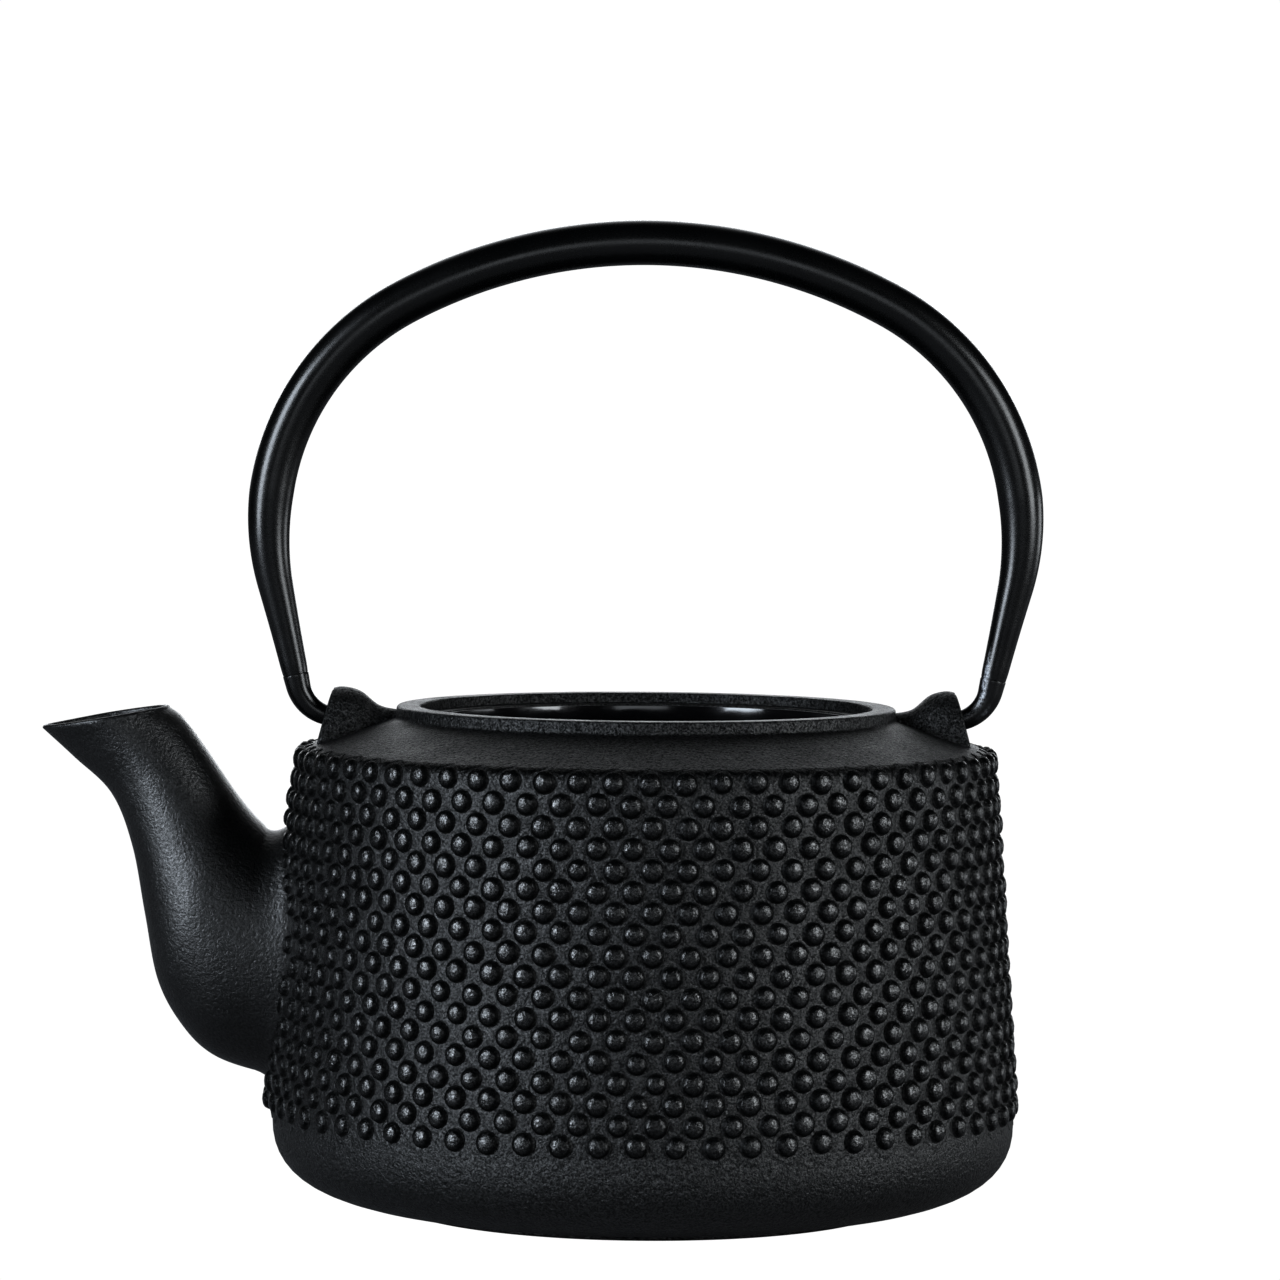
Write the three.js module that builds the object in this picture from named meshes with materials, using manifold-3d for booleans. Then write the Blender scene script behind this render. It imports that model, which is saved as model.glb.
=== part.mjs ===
// Cast iron teapot with a swinging bail. Millimetres, +Z up, the origin at the centre of the flat
// foot. The spout points along -X, and the bail turns about an axis along X through the two lugs.

import * as THREE from 'three';
import { mergeVertices } from 'three/addons/utils/BufferGeometryUtils.js';
import Module from 'manifold-3d';

const wasm = await Module();
wasm.setup();

// Pot: a drum that tapers upwards, on a round base band with a low flat foot.
const FOOT_RADIUS = 52;
const FOOT_HEIGHT = 1.2;
const DRUM_BOTTOM = { r: 74.3, z: 17 };
const DRUM_TOP = { r: 69.1, z: 90 };
const SHOULDER_EDGE = { r: 67.6, z: 91.5 };
const RIM_FOOT = { r: 50.1, z: 97.4 };
const RIM_TOP_Z = 99.9;
const RIM_OUTER_RADIUS = 49.9;
const MOUTH_RADIUS = 45.3;
const LID_SEAT_RADIUS = 42.4;
const LID_SEAT_Z = 97.8;
const SEAT_UNDERSIDE_Z = 95.2;
const NECK_RADIUS = 43;
const WALL = 3.1;
const FLOOR = 4;

// Enamel coat on the inside of the pot.
const ENAMEL = 0.6;
const GAP = 0.3;

// Spout: elliptical sections between the keel (lower outline) and the ridge (upper outline).
const SPOUT_STATIONS = [
  { keel: [-62.0, 24.6], ridge: [-62.0, 75.0], halfWidth: 18.6 },
  { keel: [-77.5, 26.1], ridge: [-75.3, 74.6], halfWidth: 17.4 },
  { keel: [-90.0, 31.8], ridge: [-78.5, 77.4], halfWidth: 16.6 },
  { keel: [-97.6, 44.0], ridge: [-81.0, 80.4], halfWidth: 15.0 },
  { keel: [-101.0, 63.0], ridge: [-84.2, 84.9], halfWidth: 12.4 },
  { keel: [-104.6, 77.1], ridge: [-89.0, 92.0], halfWidth: 10.6 },
  { keel: [-111.0, 86.1], ridge: [-93.4, 97.4], halfWidth: 10.0 },
  { keel: [-123.0, 97.0], ridge: [-97.4, 104.0], halfWidth: 10.4 },
];
const SPOUT_WALL = 2.8;
const SPOUT_TIP = { x: -120.7, z: 95.0 };
const SPOUT_BACK_LIP = { x: -95.4, z: 99.0 };

// Lugs: hoods on the shoulder, each with a blind hole along X for the end of the bail.
const PIVOT_Z = 97.3;
const LUG_STATIONS = [
  { keel: [49.4, 94.5], ridge: [50.2, 98.9], halfWidth: 2.8 },
  { keel: [54.0, 90.6], ridge: [53.6, 99.9], halfWidth: 4.8 },
  { keel: [58.6, 85.8], ridge: [57.3, 102.6], halfWidth: 7.2 },
  { keel: [63.6, 82.2], ridge: [60.4, 103.5], halfWidth: 8.6 },
  { keel: [68.4, 80.0], ridge: [62.5, 103.2], halfWidth: 9.2 },
];
const LUG_HOLE_RADIUS = 2.3;
const LUG_HOLE_END_X = 57.0;

// Bail: a bent tube that tapers down its legs, with a solid hook in each end.
const PIN_TIP_X = 57.9;
const PIN_RADIUS = 1.85;
const HOOK_START_X = 63.3;
const HOOK_BEND_RADIUS = 5.8;
const LEG_LEAN = THREE.MathUtils.degToRad(77);
const SEAM_Z = 105.8;
const LEG_LENGTH = 18.5;
const CORNER_RADIUS = 51.2;
const CORNER_END = THREE.MathUtils.degToRad(152);
const CROWN_RADIUS = 102.6;
const TUBE_RADIUS = 4.45;
const TUBE_END_RADIUS = 2.6;
const TUBE_WALL = 0.9;
const TAPER_LENGTH = 37;
const SPIGOT_RADIUS = 1.35;
const SPIGOT_LENGTH = 11;

// Facets.
const POT_SIDES = 64;
const CURVE_STEPS = 6;
const SPOUT_SIDES = 28;
const SPOUT_STEPS = 18;
const LUG_SIDES = 28;
const BAIL_SIDES = 16;
const BAIL_STEPS = 38;

const POLISH = {
  lacquer: { color: 0x16181a, roughness: 0.5, metalness: 0.4 },
  enamel: { color: 0x08090a, roughness: 0.12, metalness: 0.0 },
  gloss: { color: 0x0c0d0f, roughness: 0.28, metalness: 0.3 },
};

/** The signed volume inside a list of triangles, which is negative when they face inwards. */
function signedVolume(position, triangles) {
  const corner = (i) => new THREE.Vector3().fromBufferAttribute(position, triangles[i]);
  let sum = 0;
  for (let i = 0; i < triangles.length; i += 3) {
    sum += corner(i).dot(corner(i + 1).cross(corner(i + 2))) / 6;
  }
  return sum;
}

/**
 * A closed geometry as a solid: its seams are merged, its collapsed triangles left out and its
 * faces turned outwards.
 */
function solidOf(geometry) {
  const bare = geometry.clone();
  bare.deleteAttribute('normal');
  bare.deleteAttribute('uv');
  const merged = mergeVertices(bare, 1e-3);
  const corners = merged.index.array;
  const kept = [];
  for (let i = 0; i < corners.length; i += 3) {
    const [a, b, c] = [corners[i], corners[i + 1], corners[i + 2]];
    if (a !== b && b !== c && c !== a) kept.push(a, b, c);
  }
  if (signedVolume(merged.attributes.position, kept) < 0) kept.reverse();
  return new wasm.Manifold(new wasm.Mesh({
    numProp: 3,
    vertProperties: new Float32Array(merged.attributes.position.array),
    triVerts: new Uint32Array(kept),
  }));
}

/** A solid as a geometry that a mesh can hold. */
function geometryOf(solid) {
  const mesh = solid.getMesh();
  const geometry = new THREE.BufferGeometry();
  geometry.setAttribute('position', new THREE.BufferAttribute(mesh.vertProperties, 3));
  geometry.setIndex(new THREE.BufferAttribute(mesh.triVerts, 1));
  geometry.computeVertexNormals();
  return geometry;
}

/** A solid of revolution about Z from a path of (radius, height) that starts and ends on the axis. */
function turned(path) {
  const lathe = new THREE.LatheGeometry(path.getPoints(CURVE_STEPS), POT_SIDES);
  return solidOf(lathe.rotateX(Math.PI / 2));
}

/**
 * A solid swept between two ends: place(t, c, s) gives the point at the fraction t of the sweep
 * and at the direction (c, s) on the section, and (0, 0) gives the section's centre.
 */
function swept(sides, steps, place) {
  const geometry = new THREE.CylinderGeometry(1, 1, 1, sides, steps);
  const points = geometry.attributes.position;
  for (let i = 0; i < points.count; i += 1) {
    const spot = place(points.getY(i) + 0.5, points.getX(i), points.getZ(i));
    points.setXYZ(i, spot.x, spot.y, spot.z);
  }
  return solidOf(geometry);
}

/** The pot's outside down to the floor and back along the axis, grown outwards by a distance. */
function potOutline(grow) {
  const path = new THREE.Path();
  path.moveTo(0, -grow);
  path.lineTo(FOOT_RADIUS + grow, -grow);
  path.lineTo(FOOT_RADIUS + grow, FOOT_HEIGHT - grow);
  path.bezierCurveTo(
    63 + grow, 3 - grow, 74.9 + grow, 6.5, DRUM_BOTTOM.r + grow, DRUM_BOTTOM.z,
  );
  path.lineTo(DRUM_TOP.r + grow, DRUM_TOP.z);
  path.lineTo(SHOULDER_EDGE.r + grow, SHOULDER_EDGE.z + grow);
  path.lineTo(RIM_FOOT.r + grow, RIM_FOOT.z + grow);
  path.lineTo(RIM_OUTER_RADIUS + grow, RIM_TOP_Z + grow);
  return path;
}

/** The hollow of the pot below the lid seat, shrunk inwards by a distance. */
function hollowOutline(shrink) {
  const path = new THREE.Path();
  const drumBottom = DRUM_BOTTOM.r - WALL - shrink;
  const drumTop = DRUM_TOP.r - WALL - shrink;
  path.moveTo(0, FLOOR + shrink);
  path.lineTo(54, FLOOR + shrink);
  path.bezierCurveTo(64, 5 + shrink, drumBottom + 0.4, 9 + shrink, drumBottom, DRUM_BOTTOM.z + 2);
  path.lineTo(drumTop, DRUM_TOP.z - 4.5 - shrink);
  path.lineTo(drumTop - 3, DRUM_TOP.z - 1.8 - shrink);
  path.lineTo(NECK_RADIUS, SEAT_UNDERSIDE_Z - shrink);
  return path;
}

/** The whole hollow of the pot, up through the lid seat and the mouth. */
function potHollow() {
  const path = hollowOutline(0);
  path.lineTo(LID_SEAT_RADIUS, SEAT_UNDERSIDE_Z);
  path.lineTo(LID_SEAT_RADIUS, LID_SEAT_Z);
  path.lineTo(MOUTH_RADIUS, LID_SEAT_Z);
  path.lineTo(MOUTH_RADIUS, RIM_TOP_Z + 1);
  path.lineTo(0, RIM_TOP_Z + 1);
  return turned(path);
}

/** The pot's outside as a solid, grown by a distance. */
function potOutside(grow) {
  const path = potOutline(grow);
  path.lineTo(0, RIM_TOP_Z + grow);
  return turned(path);
}

/** The enamel coat: a shell just inside the hollow, open under the lid seat. */
function enamelShell() {
  const outer = hollowOutline(GAP);
  outer.lineTo(0, SEAT_UNDERSIDE_Z - GAP);
  const inner = hollowOutline(GAP + ENAMEL);
  inner.lineTo(NECK_RADIUS, RIM_TOP_Z);
  inner.lineTo(0, RIM_TOP_Z);
  return turned(outer).subtract(turned(inner));
}

/** Elliptical sections strung between two outlines in the XZ plane, drawn in by a distance. */
function strung(stations, sides, steps, inset) {
  const curve = (key) => new THREE.CatmullRomCurve3(
    stations.map((station) => new THREE.Vector3(station[key][0], 0, station[key][1])),
  );
  const keel = curve('keel');
  const ridge = curve('ridge');
  const widths = new THREE.SplineCurve(
    stations.map((station, index) => new THREE.Vector2(index, station.halfWidth)),
  );
  return swept(sides, steps, (t, c, s) => {
    const low = keel.getPoint(t);
    const high = ridge.getPoint(t);
    const middle = low.clone().add(high).multiplyScalar(0.5);
    const half = high.clone().sub(low).multiplyScalar(0.5);
    half.setLength(half.length() - inset);
    const halfWidth = widths.getPoint(t).y - inset;
    return middle.addScaledVector(half, c).add(new THREE.Vector3(0, s * halfWidth, 0));
  });
}

/** A box that covers everything above the plane of the spout's mouth. */
function aboveSpoutMouth() {
  const run = SPOUT_BACK_LIP.x - SPOUT_TIP.x;
  const rise = SPOUT_BACK_LIP.z - SPOUT_TIP.z;
  const box = new THREE.BoxGeometry(80, 60, 30).translate(0, 0, 15);
  box.rotateY(-Math.atan2(rise, run));
  box.translate(SPOUT_TIP.x + run / 2, 0, SPOUT_TIP.z + rise / 2);
  return solidOf(box);
}

/** The channel through the spout, run on through the pot's wall. */
function spoutChannel(clearance) {
  const [root] = SPOUT_STATIONS;
  const inside = {
    keel: [root.keel[0] + 12, root.keel[1] + 2],
    ridge: [root.ridge[0] + 12, root.ridge[1] - 2],
    halfWidth: root.halfWidth - 1,
  };
  return strung([inside, ...SPOUT_STATIONS], SPOUT_SIDES, SPOUT_STEPS, SPOUT_WALL - clearance);
}

/** The spout's casting, from the pot's wall to the lip. */
function spoutSolid() {
  return strung(SPOUT_STATIONS, SPOUT_SIDES, SPOUT_STEPS, 0)
    .subtract(potOutside(GAP))
    .subtract(aboveSpoutMouth())
    .subtract(spoutChannel(0));
}

/** The lug on the +X side, with its blind hole. */
function lugSolid() {
  const length = 20;
  const hole = new THREE.CylinderGeometry(LUG_HOLE_RADIUS, LUG_HOLE_RADIUS, length, BAIL_SIDES);
  hole.rotateZ(Math.PI / 2).translate(LUG_HOLE_END_X + length / 2, 0, PIVOT_Z);
  return strung(LUG_STATIONS, LUG_SIDES, 10, 0)
    .subtract(potOutside(GAP))
    .subtract(solidOf(hole));
}

/** The centre line of the bail's +X half, from the tip of the pin to the middle of the crown. */
function halfBailLine() {
  const heading = (angle) => new THREE.Vector2(Math.cos(angle), Math.sin(angle));
  const line = new THREE.Path();
  line.moveTo(PIN_TIP_X, PIVOT_Z);
  line.lineTo(HOOK_START_X, PIVOT_Z);
  const quarter = Math.PI / 2;
  line.absarc(
    HOOK_START_X, PIVOT_Z + HOOK_BEND_RADIUS, HOOK_BEND_RADIUS, -quarter, LEG_LEAN - quarter,
  );
  const bendEnd = line.currentPoint.clone();
  const toSeam = (SEAM_Z - bendEnd.y) / Math.sin(LEG_LEAN);
  const legEnd = bendEnd.clone().addScaledVector(heading(LEG_LEAN), toSeam + LEG_LENGTH);
  line.lineTo(legEnd.x, legEnd.y);
  const corner = legEnd.clone().addScaledVector(heading(LEG_LEAN + quarter), CORNER_RADIUS);
  line.absarc(corner.x, corner.y, CORNER_RADIUS, LEG_LEAN - quarter, CORNER_END - quarter);
  const cornerEnd = line.currentPoint.clone();
  const crown = cornerEnd.clone().addScaledVector(heading(CORNER_END + quarter), CROWN_RADIUS);
  line.absarc(crown.x, crown.y, CROWN_RADIUS, CORNER_END - quarter, quarter);
  return { line, toSeam };
}

const { line: BAIL_LINE, toSeam: SEAM_RUN } = halfBailLine();
const HALF_LENGTH = BAIL_LINE.getLength();
const PIN_LENGTH = HOOK_START_X - PIN_TIP_X;
const SEAM_AT = PIN_LENGTH + HOOK_BEND_RADIUS * LEG_LEAN + SEAM_RUN;

/** A point on the bail's skin: the distance along the half line, the side, a radius and a direction. */
function onBail(along, side, radius, c, s) {
  const at = Math.min(along / HALF_LENGTH, 1);
  const centre = BAIL_LINE.getPoint(at);
  const tangent = BAIL_LINE.getTangent(at);
  const x = centre.x - tangent.y * radius * c;
  const z = centre.y + tangent.x * radius * c;
  return new THREE.Vector3(side * x, radius * s, z);
}

/** The tube's outer radius at a distance above the seam. */
function tubeRadius(aboveSeam) {
  const part = Math.min(aboveSeam / TAPER_LENGTH, 1);
  return TUBE_END_RADIUS + (TUBE_RADIUS - TUBE_END_RADIUS) * part;
}

/** One skin of the tube, from seam to seam over the crown. */
function tubeSkin(inset, overrun) {
  const reach = HALF_LENGTH - SEAM_AT - GAP / 2 + overrun;
  return swept(BAIL_SIDES, BAIL_STEPS, (t, c, s) => {
    const fromCrown = (2 * t - 1) * reach;
    const side = fromCrown < 0 ? -1 : 1;
    const along = HALF_LENGTH - Math.abs(fromCrown);
    const radius = tubeRadius(along - SEAM_AT) - inset;
    return onBail(along, side, radius, c, s);
  });
}

/** The hook on the +X side: pin, bend and short leg, with a spigot up inside the tube. */
function hookSolid() {
  const end = SEAM_AT - GAP / 2;
  const bar = swept(BAIL_SIDES, 16, (t, c, s) => {
    const along = t * end;
    const part = Math.max(0, (along - PIN_LENGTH) / (end - PIN_LENGTH));
    return onBail(along, 1, PIN_RADIUS + (TUBE_END_RADIUS - PIN_RADIUS) * part, c, s);
  });
  const spigot = swept(BAIL_SIDES, 2, (t, c, s) => (
    onBail(end - 1 + t * (SPIGOT_LENGTH + 1), 1, SPIGOT_RADIUS, c, s)
  ));
  return bar.add(spigot);
}

/** A named mesh with a material of its own. */
function piece(name, solid, polish) {
  const mesh = new THREE.Mesh(geometryOf(solid), new THREE.MeshStandardMaterial(polish));
  mesh.name = name;
  return mesh;
}

/** Two pieces of one shape: one on the +X side, and one turned round to the -X side. */
function pair(name, solid, polish) {
  const right = piece(`right_${name}`, solid, polish);
  const left = piece(`left_${name}`, solid, polish);
  left.rotation.z = Math.PI;
  return [right, left];
}

const pot = potOutside(0).subtract(potHollow()).subtract(spoutChannel(0));
const enamel = enamelShell().subtract(spoutChannel(GAP));
const tube = tubeSkin(0, 0).subtract(tubeSkin(TUBE_WALL, 1));

const group = new THREE.Group();
group.add(
  piece('pot_body', pot, POLISH.lacquer),
  piece('spout', spoutSolid(), POLISH.lacquer),
  ...pair('lug', lugSolid(), POLISH.lacquer),
  piece('enamel_lining', enamel, POLISH.enamel),
  piece('bail_tube', tube, POLISH.gloss),
  ...pair('hook', hookSolid(), POLISH.gloss),
);

export default group;
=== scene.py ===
"""Studio view of a cast iron teapot with a swinging bail.

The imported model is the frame. Every visible piece is a new surface, worked out with numpy from the sizes
below in millimetres and turned into metres when its mesh is made.
"""

import logging
import math
from dataclasses import dataclass
from enum import Enum

import bpy
import numpy as np
from mathutils import Matrix
from numpy.typing import NDArray


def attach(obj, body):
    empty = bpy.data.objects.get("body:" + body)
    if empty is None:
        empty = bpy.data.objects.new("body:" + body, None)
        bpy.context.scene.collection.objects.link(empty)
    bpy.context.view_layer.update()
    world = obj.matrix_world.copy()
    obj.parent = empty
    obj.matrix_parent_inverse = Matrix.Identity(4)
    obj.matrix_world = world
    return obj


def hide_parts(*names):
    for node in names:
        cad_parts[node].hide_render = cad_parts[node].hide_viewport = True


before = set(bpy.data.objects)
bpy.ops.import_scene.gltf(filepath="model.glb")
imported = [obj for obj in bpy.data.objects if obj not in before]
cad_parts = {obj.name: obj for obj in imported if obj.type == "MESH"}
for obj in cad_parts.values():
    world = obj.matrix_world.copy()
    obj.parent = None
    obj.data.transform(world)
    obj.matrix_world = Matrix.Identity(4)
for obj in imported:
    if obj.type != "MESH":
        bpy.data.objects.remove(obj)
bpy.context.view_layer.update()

Array = NDArray[np.float64]
Indices = NDArray[np.int64]
MM = 0.001
LOG = logging.getLogger("teapot")


class Body(Enum):
    """The rigid bodies that pieces ride on."""

    POT = "pot"
    BAIL = "bail"


class Slot(Enum):
    """The record's finishes."""

    IRON = "lacquered_cast_iron"
    ENAMEL = "black_enamel"
    BAIL = "lacquered_bail"


class Side(Enum):
    """The two sides of the pot along X."""

    RIGHT = 1
    LEFT = -1


# Curves ------------------------


def unit(vectors: Array) -> Array:
    """Vectors along the last axis brought to length one."""
    return vectors / np.maximum(np.linalg.norm(vectors, axis=-1, keepdims=True), 1e-12)


def bezier(a: tuple, b: tuple, c: tuple, d: tuple, steps: int) -> list[tuple]:
    """Points inside a cubic curve, without its two ends.

    Args:
        a, b, c, d: the start, the two handles and the end.
        steps: how many parts the curve is cut into.

    Returns:
        (1-t)^3 a + 3t(1-t)^2 b + 3t^2(1-t) c + t^3 d at t = 1/steps to 1 - 1/steps, each with fillet 0.
    """
    t = np.linspace(0, 1, steps + 1)[1:-1, None]
    a, b, c, d = (np.array(p, float) for p in (a, b, c, d))
    points = (1 - t) ** 3 * a + 3 * t * (1 - t) ** 2 * b + 3 * t**2 * (1 - t) * c + t**3 * d
    return [(r, z, 0.0) for r, z in points]


def filleted(corners: list[tuple], steps: int = 4) -> Array:
    """Straight lines through corners, with an arc at each corner that has a fillet radius.

    An arc of radius R at a turn of angle q starts R tan(q/2) before the corner C, at A, and ends as far
    after it, at B. Its points are ((1-t)^2 A + 2wt(1-t) C + t^2 B) / ((1-t)^2 + 2wt(1-t) + t^2) with
    w = cos(q/2), which is a true circle.

    Args:
        corners: rows of (radius, height, fillet radius).
        steps: parts in each arc.

    Returns:
        The points of the path, without repeats.
    """
    table = np.array(corners, float)
    spots = table[:, :2]
    before = unit(spots[1:-1] - spots[:-2])
    after = unit(spots[2:] - spots[1:-1])
    turn = np.arccos(np.clip((before * after).sum(1), -1, 1))
    reach = (table[1:-1, 2] * np.tan(turn / 2))[:, None]
    start, end, middle = spots[1:-1] - before * reach, spots[1:-1] + after * reach, spots[1:-1]
    t = np.linspace(0, 1, steps + 1)[None, :, None]
    w = np.cos(turn / 2)[:, None, None]
    weights = (1 - t) ** 2, 2 * w * t * (1 - t), t**2
    arcs = sum(k * p[:, None] for k, p in zip(weights, (start, middle, end))) / sum(weights)
    path = np.vstack([spots[:1], arcs.reshape(-1, 2), spots[-1:]])
    fresh = np.linalg.norm(np.diff(path, axis=0), axis=1) > 1e-3
    return path[np.concatenate([[True], fresh])]


class Path2D:
    """A path of (radius, height) points that can be asked for any distance along it."""

    def __init__(self, points: Array) -> None:
        """Measures the path.

        Args:
            points: the path's points in order.
        """
        self.points = points
        self.along = np.concatenate([[0], np.cumsum(np.linalg.norm(np.diff(points, axis=0), axis=1))])
        tangent = unit(np.gradient(points, self.along, axis=0))
        self.normals = np.stack([tangent[:, 1], -tangent[:, 0]], 1)

    def at(self, along: Array) -> tuple[Array, Array]:
        """The points and the outward normals at distances along the path, by straight interpolation.

        Args:
            along: the distances.

        Returns:
            The points and the normals, with (radius, height) on the last axis.
        """
        point = [np.interp(along, self.along, self.points[:, i]) for i in (0, 1)]
        normal = [np.interp(along, self.along, self.normals[:, i]) for i in (0, 1)]
        return np.stack(point, -1), unit(np.stack(normal, -1))

    def where_height(self, height: float, start: float = 0.0) -> float:
        """The distance at which the path first reaches a height after a start distance."""
        later = self.along >= start
        return float(np.interp(height, self.points[later, 1], self.along[later]))


def catmull(stations: Array, t: Array) -> Array:
    """A smooth curve through stations.

    Between two stations P1 and P2, with P0 and P3 beyond them, the curve is half of 2 P1 + (P2 - P0) f +
    (2 P0 - 5 P1 + 4 P2 - P3) f^2 + (3 P1 - P0 - 3 P2 + P3) f^3. The ends are carried on straight.

    Args:
        stations: one row for each station.
        t: places from 0 at the first station to 1 at the last.

    Returns:
        One row for each place.
    """
    padded = np.vstack([2 * stations[0] - stations[1], stations, 2 * stations[-1] - stations[-2]])
    place = np.clip(t, 0, 1) * (len(stations) - 1)
    index = np.minimum(place.astype(int), len(stations) - 2)
    f = (place - index)[:, None]
    p0, p1, p2, p3 = (padded[index + k] for k in range(4))
    cubic = 3 * p1 - p0 - 3 * p2 + p3
    return 0.5 * (2 * p1 + (p2 - p0) * f + (2 * p0 - 5 * p1 + 4 * p2 - p3) * f**2 + cubic * f**3)


def smoothstep(low: float, high: float, x: Array) -> Array:
    """0 below low, 1 above high, and 3q^2 - 2q^3 between them."""
    q = np.clip((x - low) / (high - low), 0, 1)
    return q * q * (3 - 2 * q)


# Meshes ------------------------


class Shell:
    """A mesh being gathered: points in mm, a relief value for each, and faces of any size."""

    def __init__(self) -> None:
        """Starts with nothing."""
        self.points: list[Array] = []
        self.relief: list[Array] = []
        self.faces: list[Indices] = []
        self.count = 0

    def add(self, points: Array, relief: float | Array = 0.0) -> Indices:
        """Adds points and gives their indices.

        Args:
            points: any grid of points, with x, y, z on the last axis.
            relief: a value from 0 to 1 for each point: on the pot how far it stands on a raised stud, with a
                band of painted shade under the shoulder; on the bail how worn the paint is, with a painted
                highlight.

        Returns:
            An index for each point, in the grid's shape.
        """
        shape = points.shape[:-1]
        size = int(np.prod(shape))
        self.points.append(points.reshape(-1, 3))
        self.relief.append(np.broadcast_to(relief, shape).reshape(-1).astype(float))
        self.count += size
        return np.arange(self.count - size, self.count).reshape(shape)

    def skin(self, grid: Indices, loop: bool = False) -> None:
        """Faces between neighbours of an index grid whose columns go round.

        Args:
            grid: indices, rows by columns.
            loop: True if the last row joins the first.
        """
        rows = np.vstack([grid, grid[:1]]) if loop else grid
        right = np.roll(rows, -1, axis=1)
        self.faces.append(np.stack([rows[:-1], right[:-1], right[1:], rows[1:]], -1).reshape(-1, 4))

    def cap(self, ring: Indices, pole: Array, flip: bool = False) -> None:
        """Closes a ring with triangles to one point.

        Args:
            ring: the ring's indices.
            pole: the point, x, y, z.
            flip: True at the end of a skin, False at its start.
        """
        tip = np.full(len(ring), self.add(np.asarray(pole, float)[None])[0])
        pair = (ring, np.roll(ring, -1)) if flip else (np.roll(ring, -1), ring)
        self.faces.append(np.stack([*pair, tip], -1))

    def build(self, name: str, crease: float = 40.0) -> bpy.types.Object:
        """Makes the object, with its faces outwards and shaded smooth between creases.

        The volume is the sum over triangles of a . (b x c) / 6, and is negative where they face inwards.

        Args:
            name: the object's name.
            crease: the angle in degrees past which an edge is sharp.

        Returns:
            The object, at the origin, in metres.
        """
        points = np.vstack(self.points) * MM
        volume = 0.0
        for block in self.faces:
            a, b, c = points[block[:, 0]], points[block[:, 1:-1]], points[block[:, 2:]]
            volume += np.einsum("ik,ijk->", a, np.cross(b, c)) / 6
        blocks = [block[:, ::-1] if volume < 0 else block for block in self.faces]
        mesh = bpy.data.meshes.new(name)
        mesh.vertices.add(len(points))
        mesh.vertices.foreach_set("co", points.astype(np.float32).ravel())
        loops = np.concatenate([block.ravel() for block in blocks])
        sizes = np.concatenate([np.full(len(block), block.shape[1]) for block in blocks])
        mesh.loops.add(len(loops))
        mesh.loops.foreach_set("vertex_index", loops.astype(np.int32))
        mesh.polygons.add(len(sizes))
        starts = np.concatenate([[0], np.cumsum(sizes)[:-1]])
        mesh.polygons.foreach_set("loop_start", starts.astype(np.int32))
        mesh.update(calc_edges=True)
        mesh.validate()
        relief = mesh.attributes.new("relief", "FLOAT", "POINT")
        relief.data.foreach_set("value", np.concatenate(self.relief).astype(np.float32))
        mesh.shade_smooth()
        mesh.set_sharp_from_angle(angle=math.radians(crease))
        made = bpy.data.objects.new(name, mesh)
        bpy.context.collection.objects.link(made)
        return made


def lathe(points: Array, azimuth: Array) -> Array:
    """A profile turned round Z: x = r sin a, y = -r cos a, z = z, so azimuth 0 is the front.

    Args:
        points: the profile's (radius, height) rows.
        azimuth: the directions in radians.

    Returns:
        A grid of points, profile by direction.
    """
    r, z = points[:, :1], points[:, 1:]
    flat = np.broadcast_to(z, (len(points), len(azimuth)))
    return np.stack([r * np.sin(azimuth), -r * np.cos(azimuth), flat], -1)


def cut(target: bpy.types.Object, cutter: bpy.types.Object, crease: float = 40.0) -> None:
    """Takes one closed solid out of another for good, and removes the cutter.

    Args:
        target: the piece that is cut.
        cutter: the solid that is taken away.
        crease: the angle in degrees past which an edge is sharp afterwards.
    """
    step = target.modifiers.new("port", "BOOLEAN")
    step.operation = "DIFFERENCE"
    step.solver = "MANIFOLD"
    step.object = cutter
    graph = bpy.context.evaluated_depsgraph_get()
    result = bpy.data.meshes.new_from_object(target.evaluated_get(graph), depsgraph=graph)
    target.modifiers.clear()
    old, target.data = target.data, result
    result.name = target.name
    bpy.data.meshes.remove(old)
    bpy.data.meshes.remove(cutter.data)
    target.data.shade_smooth()
    target.data.set_sharp_from_angle(angle=math.radians(crease))


def dressed(piece: bpy.types.Object, finish: bpy.types.Material) -> bpy.types.Object:
    """Gives a piece one material and no other.

    Args:
        piece: the object.
        finish: the material.

    Returns:
        The piece.
    """
    piece.data.materials.clear()
    piece.data.materials.append(finish)
    return piece


def settle(piece: bpy.types.Object, body: Body, slot: Slot, *nodes: str) -> bpy.types.Object:
    """Ties a finished piece to its body and the nodes it stands for, and reports it.

    Args:
        piece: the finished object.
        body: the body that it rides on.
        slot: the record's finish; not used.
        nodes: the nodes that it replaces.

    Returns:
        The piece.
    """
    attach(piece, body.value)
    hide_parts(*nodes)
    LOG.info("%s: %d points, stands for %s", piece.name, len(piece.data.vertices), ", ".join(nodes))
    return piece


# Finishes ------------------------


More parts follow.
